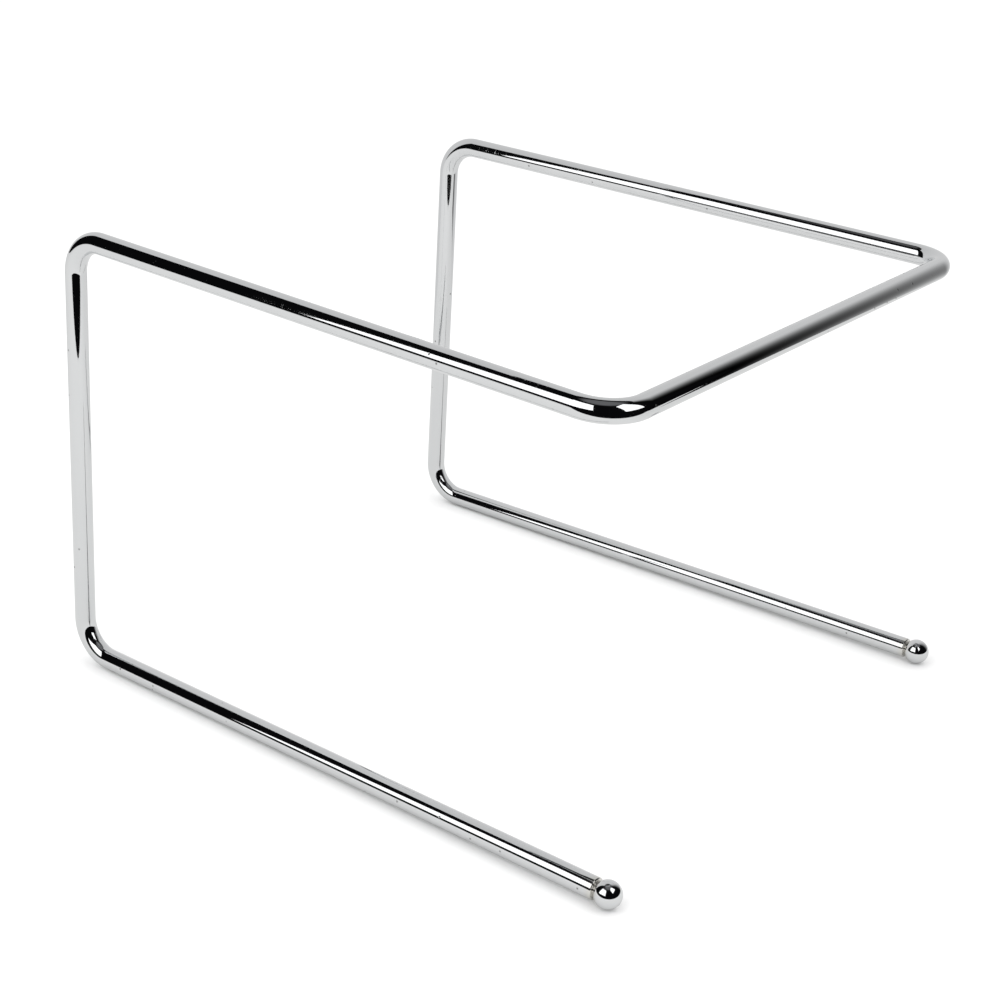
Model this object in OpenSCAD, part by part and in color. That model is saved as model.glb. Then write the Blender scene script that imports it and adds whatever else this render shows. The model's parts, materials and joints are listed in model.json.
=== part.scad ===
// Counter-top bag holder: one bent steel rod that stands on two runners and holds a bag open
// over two level rails, with a steel ball welded on each runner's end.
// Frame: +X is the front, where the cross bar is, +Z is up, and the table is z = 0.
// The left side is at +Y.

/* [Overall size] */
// Height of the stand, from the table to the top of the rails
stand_h = 178; // [110:1:300]
// Reach of the rails, from the posts to the cross bar, centre to centre
rail_reach = 242.5; // [120:0.5:400]
// Reach of the runners, from the posts to the middle of the balls
runner_reach = 254.5; // [120:0.5:400]

/* [Spread of the two sides, centre to centre] */
// Between the feet of the posts
foot_w = 222; // [140:1:400]
// Between the tops of the posts
shoulder_w = 220; // [140:1:400]
// Between the front ends of the rails, which is the length of the cross bar
cross_bar_w = 231; // [140:1:400]
// Between the balls
tip_w = 228; // [140:1:400]

/* [Rod] */
// Diameter of the rod
rod_d = 8; // [6:0.5:12]
// Radius of every bend, at the middle of the rod
bend_r = 14; // [13:1:30]
// How much the rod's radius draws down where it is bent
draw_down = 0.02; // [0.02:0.01:0.1]

/* [Attitude] */
// How far the posts rake forward, in degrees
post_rake = 0.7; // [0:0.1:5]
// How far the rails fall towards the cross bar, in degrees
rail_fall = 1; // [0:0.1:5]

/* [Ball tips] */
// Diameter of the balls
ball_d = 10; // [8:0.1:18]
// Diameter of the weld that holds a ball on the rod's end
weld_d = 4.5; // [2:0.1:6]
// Chamfer round the rod's two ends
end_chamfer = 0.5; // [0.2:0.1:1]

/* [Hidden] */
$fn = 64;

chrome = [0.78, 0.79, 0.80];
rod_r = rod_d / 2;
ball_r = ball_d / 2;

// The ball's middle stands this far off the rod's end, so that the flat on it is the weld
weld_standoff = sqrt(ball_r ^ 2 - (weld_d / 2) ^ 2);

// The runners rise to the balls, which are thicker than the rod and rest on the table too
runner_rise = atan((ball_r - rod_r) / (runner_reach - bend_r));
foot_z = rod_r - bend_r * tan(runner_rise);
shoulder_z = stand_h - rod_r + bend_r * tan(rail_fall);

// The origin is half way between the back of the posts and the front of the balls
back_x = bend_r * tan(post_rake) - rod_r;
front_x = runner_reach + ball_r;
foot_x = -(back_x + front_x) / 2;
shoulder_x = foot_x + (shoulder_z - foot_z) * tan(post_rake);

// Corners of the left side's centre line, before they are rounded
foot = [foot_x, foot_w / 2, foot_z];
shoulder = [shoulder_x, shoulder_w / 2, shoulder_z];
corner = [shoulder_x + rail_reach, cross_bar_w / 2, shoulder_z - rail_reach * tan(rail_fall)];
tip = [foot_x + runner_reach, tip_w / 2, ball_r];
bar_middle = [corner.x, 0, corner.z];

function unit(v) = v / norm(v);

// Angle that the rod turns through at b, on its way from a to c
function turn(a, b, c) = acos(unit(b - a) * unit(c - b));

// Length of straight rod that the bend at b takes up on each side of that corner
function take_up(a, b, c) = bend_r * tan(turn(a, b, c) / 2);

// Square to the plane that the bend at b lies in
function bend_normal(a, b, c) = unit(cross(b - a, c - b));

// Angle that the rod is rolled through between the bend at b and the bend at c
function roll(a, b, c, d) =
    let (first = bend_normal(a, b, c), second = bend_normal(b, c, d))
    atan2(cross(first, second) * unit(c - b), first * second);

corner_turn = turn(bar_middle, corner, shoulder);
shoulder_turn = turn(corner, shoulder, foot);
foot_turn = turn(shoulder, foot, tip);

corner_take = take_up(bar_middle, corner, shoulder);
shoulder_take = take_up(corner, shoulder, foot);
foot_take = take_up(shoulder, foot, tip);

post_roll = roll(bar_middle, corner, shoulder, foot);
runner_roll = roll(corner, shoulder, foot, tip);

half_bar_length = corner.y - corner_take;
rail_length = norm(shoulder - corner) - corner_take - shoulder_take;
post_length = norm(foot - shoulder) - shoulder_take - foot_take;
runner_length = norm(tip - foot) - foot_take - end_chamfer - weld_standoff;

// Each bend runs this many degrees into its neighbours, where they are a little thicker
bend_lap = 1;

// A length of rod along +Z, with what follows it at its far end
module straight(length, drawn) {
    if (drawn)
        cylinder(h = length, r = rod_r);
    translate([0, 0, length])
        children();
}

// The chamfered end of the rod, with what follows it on its flat
module rod_end(drawn) {
    if (drawn)
        cylinder(h = end_chamfer, r1 = rod_r, r2 = rod_r - end_chamfer);
    translate([0, 0, end_chamfer])
        children();
}

// A bend from +Z towards +X, with what follows it at its far end
module bend(angle, drawn) {
    translate([bend_r, 0, 0]) {
        if (drawn)
            rotate([90, 0, 180])
                rotate([0, 0, -bend_lap])
                    rotate_extrude(angle = angle + 2 * bend_lap)
                        translate([bend_r, 0])
                            circle(r = rod_r - draw_down);
        rotate([0, angle, 0])
            translate([-bend_r, 0, 0])
                children();
    }
}

// Places its children at the middle of the cross bar, with +Z along the bar to the left side
// and +X back along the plane of the rails
module on_cross_bar() {
    rail_plane = atan((shoulder.z - corner.z) / (shoulder.x - corner.x));
    translate(bar_middle)
        rotate([0, -rail_plane, 0])
            rotate([-90, 0, 0])
                rotate([0, 0, 180])
                    children();
}

// The left half of the rod, from the middle of the cross bar to the end of the runner.
// Its children go at that end, with +Z on along the runner.
module left_half(drawn = true) {
    on_cross_bar()
        straight(half_bar_length, drawn)
            bend(corner_turn, drawn)
                straight(rail_length, drawn)
                    rotate([0, 0, post_roll])
                        bend(shoulder_turn, drawn)
                            straight(post_length, drawn)
                                rotate([0, 0, runner_roll])
                                    bend(foot_turn, drawn)
                                        straight(runner_length, drawn)
                                            rod_end(drawn)
                                                children();
}

module bent_rod() {
    color(chrome) {
        left_half();
        mirror([0, 1, 0])
            left_half();
    }
}

// A ball with a flat where it is welded to the end of the runner
module ball_tip() {
    color(chrome)
        left_half(drawn = false)
            difference() {
                translate([0, 0, weld_standoff])
                    sphere(r = ball_r);
                translate([0, 0, -ball_d])
                    cylinder(h = ball_d, r = ball_d);
            }
}

module left_ball_tip() {
    ball_tip();
}

module right_ball_tip() {
    mirror([0, 1, 0])
        ball_tip();
}

bent_rod();
left_ball_tip();
right_ball_tip();
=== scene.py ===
# %% [markdown]
# # A chrome bag holder for a shop counter
# The object is one steel rod, bent six times, with a steel ball welded on each of its two ends.
# All of it is chrome plated. It stands on two runners, and a bag hangs open over its rails.
# The frame comes from the design file, already packed, so the first step loads it and keeps its
# box. Everything made below has to stay inside that box, because the design sets the size.

import json
import math

import bpy
import numpy as np
from mathutils import Matrix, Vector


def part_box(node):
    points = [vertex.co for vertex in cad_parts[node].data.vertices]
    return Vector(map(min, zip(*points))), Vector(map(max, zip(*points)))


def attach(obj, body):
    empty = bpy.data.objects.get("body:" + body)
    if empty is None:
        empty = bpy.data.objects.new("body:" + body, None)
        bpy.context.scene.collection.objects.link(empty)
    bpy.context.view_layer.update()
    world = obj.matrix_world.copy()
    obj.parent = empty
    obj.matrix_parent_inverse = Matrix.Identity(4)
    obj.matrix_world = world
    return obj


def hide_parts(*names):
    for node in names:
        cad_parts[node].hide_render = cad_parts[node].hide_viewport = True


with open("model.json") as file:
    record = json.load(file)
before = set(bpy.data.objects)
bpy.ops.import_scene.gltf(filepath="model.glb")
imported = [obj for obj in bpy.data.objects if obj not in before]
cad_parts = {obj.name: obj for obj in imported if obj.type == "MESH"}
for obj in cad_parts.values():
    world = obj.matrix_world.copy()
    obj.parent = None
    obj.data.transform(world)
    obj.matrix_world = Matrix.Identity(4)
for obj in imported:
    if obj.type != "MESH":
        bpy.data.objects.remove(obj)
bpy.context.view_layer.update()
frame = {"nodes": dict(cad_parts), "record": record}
record = frame["record"]
print("frame loaded:", sorted(frame["nodes"]))


# %% Two helpers for directions
def unit(vector):
    """The direction of a vector: the vector divided by its length."""
    return vector / np.linalg.norm(vector)


def stance(right, up, back, spot):
    """The matrix of a camera or a lamp, from its own three directions and its place."""
    return Matrix([[right[i], up[i], back[i], spot[i]] for i in range(3)] + [[0, 0, 0, 1]])


print("helpers ready")

# %% [markdown]
# ## Where the rod runs
# The design's own mesh is too coarse for a mirror: each flat on it would show as a broken
# reflection. So the rod is made again here, along the same line. Its sizes come from the frame.
# The balls' boxes give the two ends, and the places recorded for the cross bar and the rails
# give the line of the top. Only the bends and the spread of the posts are named again here.

# %% Sizes in metres, and the rod's corner points
BEND_R = 0.014  # at the middle of the rod
FOOT_HALF = 0.111  # half the distance between the feet of the posts
SHOULDER_HALF = 0.110  # half the distance between the tops of the posts
RUNNER_REACH = 0.2545  # from the posts to the middle of the balls
POST_RAKE = math.radians(0.7)
END_CHAMFER = 0.0005
WELD_R = 0.00225

place = {m["name"]: m for m in record["mounts"]}
ROD_R = place["cross_bar"]["dims"]["r_mm"] / 1000
ball_low, ball_high = (np.array(c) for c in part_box("left_ball_tip"))
BALL_R = (ball_high[2] - ball_low[2]) / 2
tip = np.array([ball_high[0] - BALL_R, (ball_low[1] + ball_high[1]) / 2, BALL_R])

bar = np.array(place["cross_bar"]["pos_m"])
rail = np.array(place["left_rail"]["pos_m"])
rail_way = np.array(place["left_rail"]["axis"])
corner = rail + rail_way * (bar[0] - rail[0]) / rail_way[0]
shoulder = rail - rail_way * (rail[1] - SHOULDER_HALF) / rail_way[1]
foot_z = ROD_R - BEND_R * (BALL_R - ROD_R) / (RUNNER_REACH - BEND_R)
foot = np.array([shoulder[0] - (shoulder[2] - foot_z) * math.tan(POST_RAKE), FOOT_HALF, foot_z])
runner_way = unit(tip - foot)
WELD_BACK = math.sqrt(BALL_R**2 - WELD_R**2)  # the rod's end lies this far behind the ball's middle
rod_end = tip - runner_way * WELD_BACK
MIRROR = np.array([1.0, -1.0, 1.0])  # from the left side to the right
left_side = [rod_end, foot, shoulder, corner]
corners = left_side + [point * MIRROR for point in reversed(left_side)]
for name, point in (("foot", foot), ("shoulder", shoulder), ("corner", corner), ("ball", tip)):
    print(f"{name:9s} in mm:", np.round(1000 * point, 3))

# %% [markdown]
# ## The camera
# The camera looks down on the stand from its front right, through a long lens that keeps the
# rails nearly parallel. It is placed by three directions at right angles, across, up and
# forward, so it can also be rolled a little, as a camera in the hand is.

# %% Camera
camera_data = bpy.data.cameras.new("catalogue_camera")
camera_data.sensor_width = 36.0
camera_data.lens = 69.73  # this and the sensor's width are in mm
camera_data.clip_start, camera_data.clip_end = 0.01, 60.0
camera = bpy.data.objects.new("catalogue_camera", camera_data)
bpy.context.scene.collection.objects.link(camera)
bpy.context.scene.camera = camera
forward = unit(np.array([-0.5383, 0.7424, -0.3988]))
across = np.array([0.7962, 0.6032, 0.0481])
across = unit(across - forward * (across @ forward))
spot = (0.4047, -0.5692, 0.3751)
camera.matrix_world = stance(across, np.cross(across, forward), -forward, spot)
print("camera looks", round(math.degrees(math.asin(-forward[2])), 1), "degrees down")

# %% [markdown]
# ## Writing shader maths as sums
# A finish is a network of nodes. Wiring each node by hand hides the idea, so this small class
# wraps one output socket and lets ordinary arithmetic add the Math nodes. Every other node
# comes from one method, which takes the node's type, its settings and its sockets.

# %% A socket that can be added and multiplied, and a node tree that makes them
class Wire:
    """One output socket. Arithmetic with numbers or other wires adds a Math node."""

    def __init__(self, shop, socket):
        self.shop, self.socket = shop, socket

    def _sum(self, operation, *values):
        return self.shop.node("ShaderNodeMath", {"operation": operation}, dict(enumerate(values)))

    def __add__(self, other):
        return self._sum("ADD", self, other)

    def __sub__(self, other):
        return self._sum("SUBTRACT", self, other)

    def __rsub__(self, other):
        return self._sum("SUBTRACT", other, self)

    def __mul__(self, other):
        return self._sum("MULTIPLY", self, other)

    __radd__, __rmul__ = __add__, __mul__

    def over(self, low, high):
        """0 where the value is at low, 1 where it is at high, and a smooth step between them."""
        return self.shop.node(
            "ShaderNodeMapRange",
            {"interpolation_type": "SMOOTHSTEP"},
            {"Value": self, "From Min": low, "From Max": high},
        )


class Shop:
    """The node tree of a material or a world, emptied and ready to be filled."""

    def __init__(self, owner):
        owner.use_nodes = True
        self.tree = owner.node_tree
        self.tree.nodes.clear()

    def node(self, kind, settings=None, sockets=None, out=0):
        """Adds a node, sets its settings first, then each socket to a value or a wire."""
        made = self.tree.nodes.new(kind)
        for name, value in (settings or {}).items():
            setattr(made, name, value)
        for name, value in (sockets or {}).items():
            if isinstance(value, Wire):
                self.tree.links.new(value.socket, made.inputs[name])
            else:
                made.inputs[name].default_value = value
        return Wire(self, made.outputs[out]) if made.outputs else None

    def mix(self, share, first, second):
        """A colour that goes from first to second as share goes from 0 to 1."""
        return self.node(
            "ShaderNodeMix", {"data_type": "RGBA"}, {"Factor": share, 6: first, 7: second}, out=2
        )

    def reach(self, vector, along):
        """How far a direction or a place reaches along a fixed direction: their dot product."""
        return self.node(
            "ShaderNodeVectorMath", {"operation": "DOT_PRODUCT"}, {0: vector, 1: along}, out="Value"
        )


print("shader maths ready")

# %% [markdown]
# ## The room that the chrome mirrors
# Chrome has no look of its own. It shows the room. In a catalogue studio the stand is on a sheet
# of white paper, with a white wall curved round behind it, a soft box at each side of the camera,
# and nothing but a dim room past them. The black bands on the rod are the gaps between those
# things, so each one is really there, at its own distance, and the bands run and taper along
# the rod as they should. They are for reflections only: the camera sees plain white.

# %% Directions in the studio, and things that only reflections see
NEAR = unit(np.array([-forward[0], -forward[1], 0.0]))
RIGHT = np.cross((0.0, 0.0, 1.0), NEAR)


def studio(near, right, height):
    """A place in the studio: so far toward the camera, to its right, and above the table."""
    return near * NEAR + right * RIGHT + np.array([0.0, 0.0, height])


def prop(name, points, faces, paint, lit=None, mirrored_only=True):
    """A part of the studio, made from its points and faces, and painted. lit is how strongly
    each point glows, for a paint that glows."""
    mesh = bpy.data.meshes.new(name)
    mesh.from_pydata(np.asarray(points).tolist(), [], faces)
    if lit is not None:
        mesh.attributes.new("lit", "FLOAT", "POINT").data.foreach_set("value", lit.astype(np.float32))
    mesh.materials.append(paint)
    made = bpy.data.objects.new(name, mesh)
    bpy.context.scene.collection.objects.link(made)
    if mirrored_only:
        made.visible_camera = made.visible_diffuse = made.visible_shadow = False
    print(f"{name}: {len(mesh.polygons)} faces")
    return made


# %% The dim room, and plain white for all but reflections
DIM = (0.003, 0.003, 0.0035, 1)  # what reflections see past the paper, the wall and the boxes
CEILING = (0.14, 0.14, 0.145, 1)  # what they see nearly straight up
SOFT_LIGHT = (1.13, 1.13, 1.13, 1)  # what falls on matt surfaces, and whitens the table
WHITE = (1.0, 1.0, 1.0, 1)  # what the camera sees

world = bpy.data.worlds.new("studio")
bpy.context.scene.world = world
room = Shop(world)
way = room.node("ShaderNodeTexCoord", out="Generated")
straight_up = room.reach(way, (0.0, 0.0, 1.0)).over(0.88, 0.97)
dim = room.mix(straight_up, DIM, CEILING)
seen = room.mix(room.node("ShaderNodeLightPath", out="Is Glossy Ray"), SOFT_LIGHT, dim)
seen = room.mix(room.node("ShaderNodeLightPath", out="Is Camera Ray"), seen, WHITE)
light = room.node("ShaderNodeBackground", None, {"Color": seen, "Strength": 1.0})
room.node("ShaderNodeOutputWorld", None, {"Surface": light})
world.cycles.sampling_method = "NONE"
bpy.context.scene.view_settings.view_transform = "Standard"
print("studio ready")

# %% [markdown]
# ## Two soft boxes
# The lights themselves show in the chrome, as white streaks along the rails and the runners and
# as small white windows in the bends and the balls. One box is large and stands well to the left
# of the camera, a little rolled. The other is small and close by, at the stand's right.

# %% Soft boxes
def soft_box(name, middle, round_by, tilt, roll, width, tall, radiance):
    """A plain area light that faces back to the stand, turned round_by from the camera's side,
    leaning by tilt and rolled by roll, in degrees. Its power is radiance * pi * its area."""
    a, t, b = math.radians(round_by), math.radians(tilt), math.radians(roll)
    aim = studio(math.cos(a) * math.cos(t), math.sin(a) * math.cos(t), math.sin(t))
    level = studio(-math.sin(a), math.cos(a), 0.0)
    side = level * math.cos(b) + np.cross(aim, level) * math.sin(b)
    data = bpy.data.lights.new(name, "AREA")
    data.shape, data.size, data.size_y = "RECTANGLE", width, tall
    data.energy = radiance * math.pi * width * tall
    lamp = bpy.data.objects.new(name, data)
    bpy.context.scene.collection.objects.link(lamp)
    lamp.matrix_world = stance(side, np.cross(aim, side), aim, middle)
    lamp.visible_camera = False
    print(f"{name}: {width} m by {tall} m, {data.energy:.2f} W")


soft_box(
    "left_soft_box", studio(0.79, -0.90, 1.11),
    round_by=-53.9, tilt=0.0, roll=6.0, width=1.27, tall=1.46, radiance=1.5,
)
soft_box(
    "right_soft_box", studio(0.30, 0.24, 0.45),
    round_by=85.0, tilt=10.0, roll=0.0, width=0.25, tall=0.40, radiance=1.5,
)

# %% [markdown]
# ## Table, paper and wall
# The stand needs something to stand on, and its chrome needs something pale to mirror from
# below. The table is a plain pale disc. The paper on it ends a little in front of the stand, on
# a slant. The wall stands round the back on an arc. It is no lamp, yet it glows: painted light
# in place of a lit wall. Its glow grows dim towards its right end, painted shade that darkens
# what the cross bar mirrors, and it glows a little less at its top than at its foot, also painted shade.

# %% A matt white for the studio
def paint(name, color, glows=False):
    """A matt white, or a surface that glows as strongly as its points say, with a faint cloudy
    grain in it."""
    made = bpy.data.materials.new(name)
    shop = Shop(made)
    where = shop.node("ShaderNodeTexCoord", out="Object")
    grain = shop.node("ShaderNodeTexNoise", None, {"Vector": where, "Scale": 9.0})
    darker = (*[c * 0.985 for c in color], 1)
    lighter = (*[min(1.0, c * 1.015) for c in color], 1)
    shade = shop.mix(grain, darker, lighter)
    if glows:
        lit = shop.node("ShaderNodeAttribute", {"attribute_name": "lit"}, out="Fac")
        surface = shop.node("ShaderNodeEmission", None, {"Color": shade, "Strength": lit})
    else:
        surface = shop.node("ShaderNodeBsdfDiffuse", None, {"Color": shade})
    shop.node("ShaderNodeOutputMaterial", None, {"Surface": surface})
    return made


print("matt white ready")

# %% Table top and paper
FLOOR_R, FLOOR_SIDES = 3.0, 96
DROP = 0.0001  # the paper lies this far below the runners, and the table top twice as far
PAPER_LEFT, PAPER_RIGHT, PAPER_BACK = -1.4, 0.75, -2.0
PAPER_FRONT_LEFT, PAPER_FRONT_RIGHT = 0.655, 0.172  # how near the camera its front edge comes

angles = np.linspace(0, 2 * np.pi, FLOOR_SIDES, endpoint=False)
flat = np.full(FLOOR_SIDES, -2 * DROP)
rim = np.stack([FLOOR_R * np.cos(angles), FLOOR_R * np.sin(angles), flat], 1)
pale = paint("pale_floor", (0.90, 0.90, 0.90))
floor = prop("floor", rim, [list(range(FLOOR_SIDES))], pale, mirrored_only=False)
floor.visible_glossy = False  # reflections see the paper instead

front = ((PAPER_FRONT_LEFT, PAPER_LEFT), (PAPER_FRONT_RIGHT, PAPER_RIGHT))
back = ((PAPER_BACK, PAPER_RIGHT), (PAPER_BACK, PAPER_LEFT))
sheet = [studio(near, right, -DROP) for near, right in front + back]
prop("paper", sheet, [[0, 1, 2, 3]], paint("white_paper", (0.64, 0.64, 0.635)))

# %% Curved wall
WALL_R, WALL_NEAR, WALL_TALL = 0.44, 0.044, 0.93
WALL_LEFT, WALL_RIGHT, WALL_FADE = -62, 82, 42  # degrees from straight behind, round to the right
FOOT_GLOW, GLOW_LOSS = 0.73, 0.12  # at the wall's foot, and how much less for each metre up

bow = np.radians(np.linspace(WALL_LEFT, WALL_RIGHT, 73))
lowest = np.array([studio(WALL_NEAR - WALL_R * math.cos(t), WALL_R * math.sin(t), 0.0) for t in bow])
# painted shade: the wall's glow dims smoothly towards its right end
painted_dimming = np.clip((np.radians(WALL_RIGHT) - bow) / math.radians(WALL_FADE), 0, 1)
painted_dimming = painted_dimming * painted_dimming * (3 - 2 * painted_dimming)
wall = np.concatenate([lowest, lowest + np.array([0.0, 0.0, WALL_TALL])])
# the wall's glow is painted light, a little weaker at its top as painted shade
lit = np.concatenate([painted_dimming * FOOT_GLOW, painted_dimming * (FOOT_GLOW - GLOW_LOSS * WALL_TALL)])
strips = [[i, i + 1, i + 1 + len(bow), i + len(bow)] for i in range(len(bow) - 1)]
prop("curved_wall", wall, strips, paint("wall_glow_painted_light", (1.0, 1.0, 1.0), glows=True), lit)

# %% [markdown]
# ## One rod, bent six times
# The real rod is cut to length, bent cold round a former and then plated. A circle carried
# along the line does the same here. On a straight stretch the circle only moves. In a bend it
# also turns about the bend's own axis, and never about the rod, so no twist creeps in. Each
# point keeps where it was on the rod before it was bent, so that marks made while the rod was
# drawn can still run along it, round every bend.

# %% The centre line, and a frame that is carried along it
def bent_line(points, radius, straight_step, bend_steps):
    """The line through points with each inner corner rounded to radius.

    On a straight stretch a place is start + distance * forward. In a bend of angle A it is
    middle - radius * inward * cos(a) + radius * forward * sin(a), for a from 0 to A, and the
    frame turns through the same a. Returns places, forwards, sides, lengths along the rod,
    how far round its bend each place is (0 to 1, or -1) and the inward direction there."""
    ways = [unit(b - a) for a, b in zip(points, points[1:])]
    side = unit(np.cross(ways[0], (0.0, 0.0, 1.0)))
    rows, start, run = [], points[0], 0.0
    for i, ahead in enumerate(ways):
        last = i == len(ways) - 1
        angle = 0.0 if last else math.acos(np.clip(ahead @ ways[i + 1], -1, 1))
        stop = points[i + 1] - ahead * radius * math.tan(angle / 2)
        length = np.linalg.norm(stop - start)
        steps = max(2, int(math.ceil(length / straight_step)) + 1)
        t = np.linspace(0, length, steps)[: None if last else -1]
        full = np.ones((len(t), 1))
        rows.append((start + t[:, None] * ahead, full * ahead, full * side,
                     run + t, -np.ones(len(t)), np.zeros((len(t), 3))))
        run += length
        if last:
            break
        inward = unit(ways[i + 1] - ahead * (ways[i + 1] @ ahead))
        axis = np.cross(ahead, inward)
        a = np.linspace(0, angle, bend_steps)[:-1, None]
        middle = stop + radius * inward
        turned_in = inward * np.cos(a) - ahead * np.sin(a)
        turned_ahead = ahead * np.cos(a) + inward * np.sin(a)
        turned_side = turned_in * (side @ inward) + axis * (side @ axis)
        rows.append((middle - radius * turned_in, turned_ahead, turned_side,
                     run + radius * a[:, 0], a[:, 0] / angle, turned_in))
        run += radius * angle
        end_in = inward * math.cos(angle) - ahead * math.sin(angle)
        side = end_in * (side @ inward) + axis * (side @ axis)
        start = middle - radius * end_in
    return [np.concatenate(column) for column in zip(*rows)]


line, ahead, side, run, bend_share, inward = bent_line(
    corners, BEND_R, straight_step=0.006, bend_steps=49
)
other = np.cross(ahead, side)
ROD_LENGTH = run[-1]
print(f"the rod is {1000 * ROD_LENGTH:.1f} mm long before bending, in {len(line)} rings")

# %% A closed skin over rings of points
def skin(name, rings, marks):
    """A mesh over rings[i, j], closed round j, with a centre point at each end of i.

    marks is a dict of point attributes, one value or one vector for each point of rings."""
    count, around = rings.shape[:2]
    points = np.concatenate([rings.reshape(-1, 3), rings[0].mean(0)[None], rings[-1].mean(0)[None]])
    i, j = np.meshgrid(np.arange(count - 1), np.arange(around), indexing="ij")
    k = (j + 1) % around
    quads = np.stack([i * around + j, i * around + k, (i + 1) * around + k, (i + 1) * around + j], -1)
    quads = quads.reshape(-1, 4)
    j = np.arange(around)
    k = (j + 1) % around
    first = np.stack([np.full(around, count * around), k, j], -1)
    last_ring = (count - 1) * around
    final = np.stack([np.full(around, count * around + 1), last_ring + j, last_ring + k], -1)
    mesh = bpy.data.meshes.new(name)
    mesh.from_pydata(points, [], quads.tolist() + first.tolist() + final.tolist())
    mesh.shade_smooth()
    for label, values in marks.items():
        flat = values.reshape(count * around, -1)
        at_ends = [values[row].reshape(around, -1).mean(0)[None] for row in (0, -1)]
        flat = np.concatenate([flat, *at_ends])
        vector = flat.shape[1] == 3
        made = mesh.attributes.new(label, "FLOAT_VECTOR" if vector else "FLOAT", "POINT")
        made.data.foreach_set("vector" if vector else "value", flat.astype(np.float32).ravel())
    piece = bpy.data.objects.new(name, mesh)
    bpy.context.scene.collection.objects.link(piece)
    mesh.update()
    print(f"{name}: {len(points)} points, {2 * len(quads) + 2 * around} triangles")
    return piece


# %% The rod's rings, with a small rounded edge at each end in the chamfer's place
AROUND = 96  # points in each ring
turn = np.linspace(0, 2 * np.pi, AROUND, endpoint=False)
# how far in from the rod's end each ring of the rounded edge is
slope = np.array([0.0, 0.35, 0.75, 1.0]) * END_CHAMFER
along_rod = np.concatenate([slope, run[1:-1], ROD_LENGTH - slope[::-1]])
first_rings = line[0] + slope[:, None] * ahead[0]
last_rings = line[-1] - slope[::-1, None] * ahead[-1]
where = np.concatenate([first_rings, line[1:-1], last_rings])


def stretched(values):
    """The same values with the end rows repeated for the rings of the rounded edges."""
    first, last = (np.repeat(row, len(slope), 0) for row in (values[:1], values[-1:]))
    return np.concatenate([first, values[1:-1], last])


side_r, other_r, inward_r = (stretched(v) for v in (side, other, inward))
reach_in = np.minimum(np.minimum(along_rod, ROD_LENGTH - along_rod), END_CHAMFER)
radius = ROD_R - END_CHAMFER + np.sqrt(END_CHAMFER**2 - (END_CHAMFER - reach_in) ** 2)
out = side_r[:, None] * np.cos(turn)[None, :, None] + other_r[:, None] * np.sin(turn)[None, :, None]
rings = where[:, None] + radius[:, None, None] * out
print(f"{len(rings)} rings of {AROUND} points")

# %% Where each point was before bending, how it was strained, and the rod itself
flat_x, flat_y = radius[:, None] * np.cos(turn), radius[:, None] * np.sin(turn)
unbent = np.stack(np.broadcast_arrays(flat_x, flat_y, along_rod[:, None]), -1)
# how far each point is on the outside of its bend: 1 outside, -1 inside, 0 where it is straight
within_bend = np.sin(np.pi * np.clip(stretched(bend_share), 0, 1)) ** 0.5
strain = -np.einsum("ijk,ik->ij", out, inward_r) * within_bend[:, None]
rod = skin("chrome_rod", rings, {"unbent": unbent, "strain": strain})
low, high = rings.reshape(-1, 3).min(0), rings.reshape(-1, 3).max(0)
cad = [np.array(c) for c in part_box("bent_rod")]
off = [np.round(1000 * (here - there), 3) for here, there in zip((low, high), cad)]
print("the rod's box is off the design's by, in mm:", *off)

# %% [markdown]
# ## The balls
# Each ball is welded to the rod's end by pressing the two together with a heavy current, which
# leaves a narrow neck with a little metal squeezed out round it. The ball and its neck are one
# profile, turned round the runner's own line.

# %% A ball with its weld
NECK_AT_ROD = 0.0031  # the neck's radius at the rod's end
NECK_WAIST = 0.00055  # how much narrower it gets half way
NECK_AT_BALL = 0.0030  # its radius where the ball's own surface begins


def ball(name, centre, way_out):
    """A profile turned round the runner's line: the neck, then the ball's own circle.

    For s from 0 to 1 the neck's radius goes straight from its first value to its last, less
    its waist * sin(pi * s). On the ball, at an angle p from the weld, the place along the line
    is -radius * cos(p), and the distance from the line is radius * sin(p)."""
    u = unit(np.cross(way_out, (0.0, 0.0, 1.0)))
    v = np.cross(way_out, u)
    polar = np.linspace(math.asin(NECK_AT_BALL / BALL_R), math.pi, 90)[:-1]
    z_ball, r_ball = -BALL_R * np.cos(polar), BALL_R * np.sin(polar)
    s = np.linspace(0, 1, 9)[:-1]
    z_neck = -WELD_BACK + (z_ball[0] + WELD_BACK) * s**1.6
    r_neck = NECK_AT_ROD - NECK_WAIST * np.sin(np.pi * s) - (NECK_AT_ROD - NECK_AT_BALL) * s
    z, r = np.concatenate([z_neck, z_ball]), np.concatenate([r_neck, r_ball])
    out = u * np.cos(turn)[:, None] + v * np.sin(turn)[:, None]
    rings = centre + z[:, None, None] * way_out + r[:, None, None] * out[None]
    flat_x, flat_y = r[:, None] * np.cos(turn), r[:, None] * np.sin(turn)
    unbent = np.stack(np.broadcast_arrays(flat_x, flat_y, -(z[:, None] + WELD_BACK)), -1)
    return skin(name, rings, {"unbent": unbent, "strain": np.zeros(rings.shape[:2] + (1,))})


left_ball = ball("left_ball", tip, runner_way)
right_ball = ball("right_ball", tip * MIRROR, runner_way * MIRROR)

# %% [markdown]
# ## Chrome
# Bright chrome is a mirror much thinner than a hair over polished steel, so it shows all that
# was done to the steel before. Drawing left fine lines along the rod, and they
# follow it round the bends. Bending stretched the outside of each bend into a faint orange peel,
# and the former left fine rings on the inside. Where the ball was welded on, the steel is a
# little dull and straw coloured. Use then marked the plating itself: bag handles rub across the
# rails and the cross bar, the table scuffs what rests on it, dust and small pits show as specks,
# and fingers leave a thin haze. Each of these is a line or two of sums below. The patterns read
# where a point was on the rod before it was bent, and only the places of wear read the finished
# shape.

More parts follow.
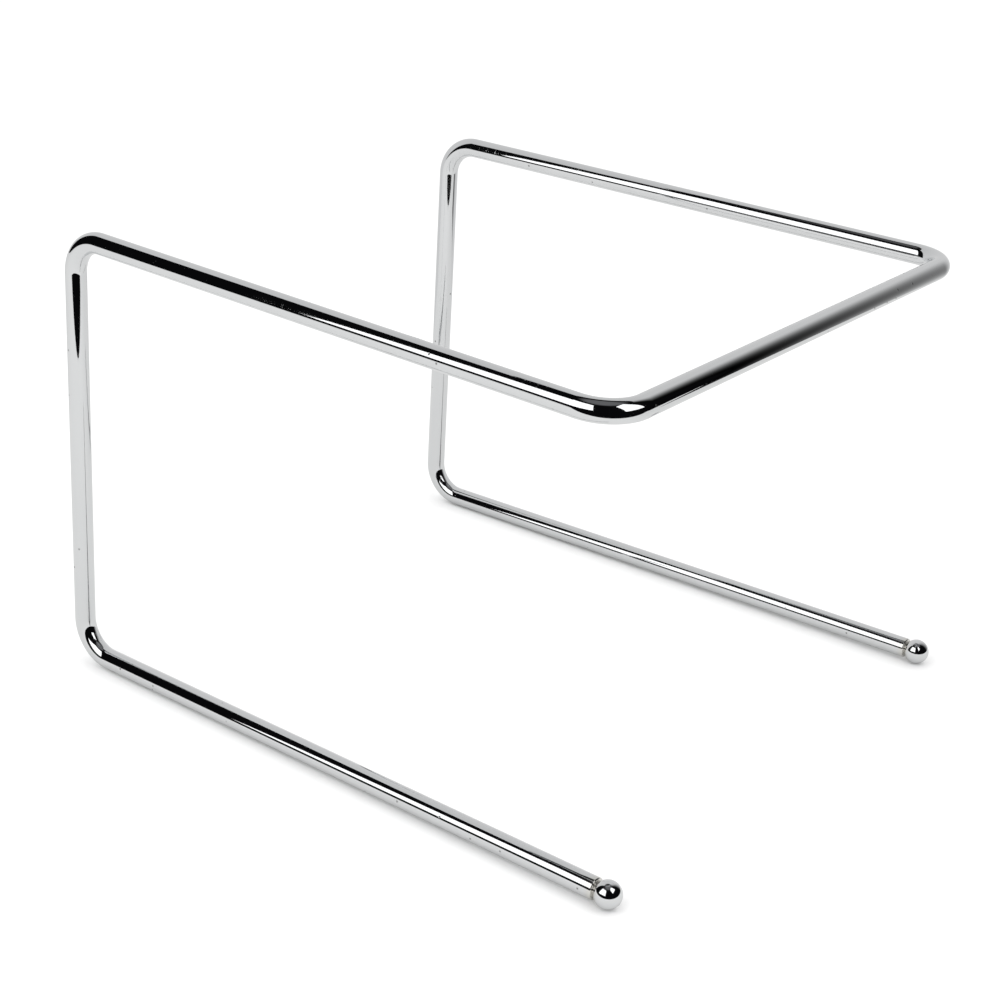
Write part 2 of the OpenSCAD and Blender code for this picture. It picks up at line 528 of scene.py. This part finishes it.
# %% Marks in the steel and in the plating
RUBS_ABOVE = (0.160, 0.168)  # heights over which the rubs set in: the rails and the bar are higher
SCUFFS_BELOW = (0.0003, 0.0009)  # heights over which the scuffs from the table end
PIT, DUST = (0.10, 0.095, 0.09, 1), (0.62, 0.61, 0.58, 1)


def chrome(name, color, rod_length=None):
    """Chrome with its marks. rod_length is given for the rod, whose two ends are both welded."""
    finish = bpy.data.materials.new(name)
    shop = Shop(finish)
    unbent = shop.node("ShaderNodeAttribute", {"attribute_name": "unbent"}, out="Vector")
    strain = shop.node("ShaderNodeAttribute", {"attribute_name": "strain"}, out="Fac")
    place_now = shop.node("ShaderNodeTexCoord", out="Object")
    height_now = shop.reach(place_now, (0.0, 0.0, 1.0))
    along = shop.reach(unbent, (0.0, 0.0, 1.0))

    def noise(scale, detail=2.0, squeeze=(1.0, 1.0, 1.0)):
        """Noise with so many lumps to the metre, and longer along an axis that is squeezed."""
        moved = shop.node("ShaderNodeMapping", None, {"Vector": unbent, "Scale": squeeze})
        return shop.node("ShaderNodeTexNoise", None, {"Vector": moved, "Scale": scale, "Detail": detail})

    def specks(scale, size, share):
        """Round spots with so many cells to the metre, in a share of the cells only."""
        sockets = {"Vector": unbent, "Scale": scale}
        far = shop.node("ShaderNodeTexVoronoi", None, sockets, out="Distance")
        chance = shop.node("ShaderNodeTexVoronoi", None, sockets, out="Color")
        lucky = shop.reach(chance, (1.0, 0.0, 0.0)).over(1.0 - share, 1.0 - share + 0.02)
        return (1.0 - far.over(size * 0.6, size)) * lucky

    # what drawing and bending left in the steel
    draw_lines = noise(3200.0, 3.0, (1.0, 1.0, 0.008))
    long_waves = noise(260.0, 1.0, (1.0, 1.0, 0.12))
    outside, inside = strain.over(0.25, 1.0), (0.0 - strain).over(0.35, 1.0)
    peel = noise(900.0, 1.0)
    wave = {"Vector": unbent, "Scale": 260.0, "Distortion": 2.0, "Detail Scale": 3.0}
    rings_in_bend = shop.node("ShaderNodeTexWave", {"bands_direction": "Z"}, wave)
    pits = specks(260.0, 0.14, 0.07)
    # what use left in the plating
    scratches = noise(900.0, 2.0, (0.10, 0.10, 3.0)).over(0.60, 0.72)
    rubs = scratches * noise(38.0).over(0.42, 0.62) * height_now.over(*RUBS_ABOVE)
    underneath = 1.0 - height_now.over(*SCUFFS_BELOW)
    scuffs = underneath * noise(700.0, 3.0).over(0.35, 0.60)
    haze = noise(55.0, 3.0).over(0.42, 0.72)
    dust = specks(520.0, 0.12, 0.03)
    if rod_length:
        from_weld = shop.node("ShaderNodeMath", {"operation": "MINIMUM"}, {0: along, 1: rod_length - along})
    else:
        from_weld = 0.0 - along
    heat = 1.0 - (from_weld + 0.0008 * noise(400.0)).over(0.0002, 0.0040)

    steel = (*color, 1)
    straw = (color[0] * 0.93, color[1] * 0.87, color[2] * 0.76, 1)
    shade = shop.mix(heat * 0.45, steel, straw)
    dulled = (color[0] * 0.90, color[1] * 0.91, color[2] * 0.93, 1)
    shade = shop.mix(haze * 0.10 + rubs * 0.10, shade, dulled)
    shade = shop.mix(pits * 0.65, shade, PIT)
    shade = shop.mix(dust * 0.5, shade, DUST)
    rough = (0.022 + haze * 0.035 + draw_lines.over(0.55, 0.80) * 0.04 + outside * 0.03 + inside * 0.02
             + rubs * 0.14 + scuffs * 0.25 + heat * 0.08 + dust * 0.3 + pits * 0.3)
    # heights in metres: a pit is 0.03 mm deep, and no other mark is deeper than 0.006 mm
    relief = (draw_lines * 0.0000006 + long_waves * 0.0000060 + peel * (0.0000010 + outside * 0.0000030)
              + rings_in_bend * inside * 0.0000020 - pits * 0.000030 - rubs * 0.0000008 - scuffs * 0.0000030)
    bump = shop.node("ShaderNodeBump", None, {"Height": relief, "Strength": 1.0, "Distance": 1.0})
    metal = shop.node("ShaderNodeBsdfPrincipled", None,
                      {"Base Color": shade, "Metallic": 1.0, "Roughness": rough, "Normal": bump})
    shop.node("ShaderNodeOutputMaterial", None, {"Surface": metal})
    print(f"{name}: {len(finish.node_tree.nodes)} nodes")
    return finish


# %% Chrome on the rod and on the balls
rod.data.materials.append(chrome("rod_chrome", (0.78, 0.79, 0.80), ROD_LENGTH))
ball_finish = chrome("ball_chrome", (0.79, 0.80, 0.81))
for piece in (left_ball, right_ball):
    piece.data.materials.append(ball_finish)

# %% Put the pieces on the frame
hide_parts("bent_rod")
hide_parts("left_ball_tip")
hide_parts("right_ball_tip")
for piece, slot in ((rod, "rod_chrome"), (left_ball, "ball_chrome"), (right_ball, "ball_chrome")):
    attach(piece, "root")
print("three pieces ride on the frame")
